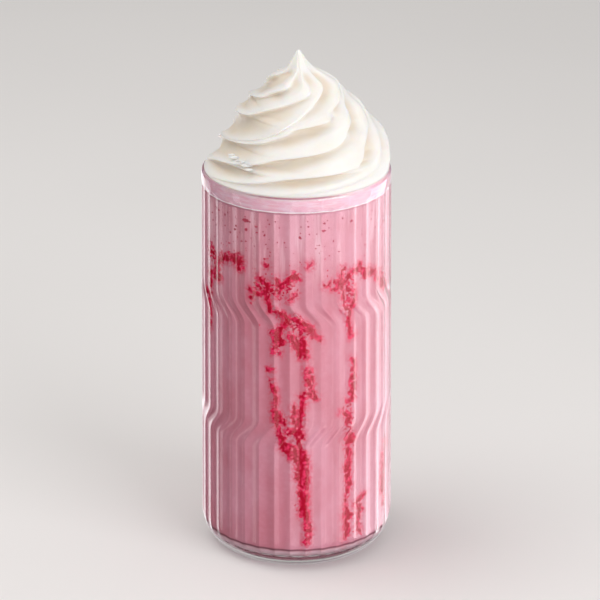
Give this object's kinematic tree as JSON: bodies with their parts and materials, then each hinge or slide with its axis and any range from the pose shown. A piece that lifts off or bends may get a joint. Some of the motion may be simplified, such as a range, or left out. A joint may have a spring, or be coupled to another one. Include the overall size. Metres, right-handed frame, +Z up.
{
  "type": "mulberry milkshake in a glass",
  "caption": "Tall glass with stepped vertical ribs, filled with pink milkshake and topped with a piped swirl of whipped cream that rises to a peak.",
  "frame": {"origin": "on the glass's axis, at the bottom of its foot", "axes": "+Z up along the glass's axis; -Y is the front, where the deepest syrup streaks run; the cream leans a little towards +X"},
  "size_m": [0.076, 0.076, 0.2044],
  "materials": {
    "clear_glass": "clear pressed glass with polished flutes",
    "milkshake_pink": "thick pink milkshake with crimson syrup streaks and small bubbles",
    "whipped_cream_white": "smooth satin whipped cream"
  },
  "bodies": {
    "root": {"glass": "clear_glass", "milkshake": "milkshake_pink", "whipped_cream": "whipped_cream_white"}
  },
  "joints": []
}
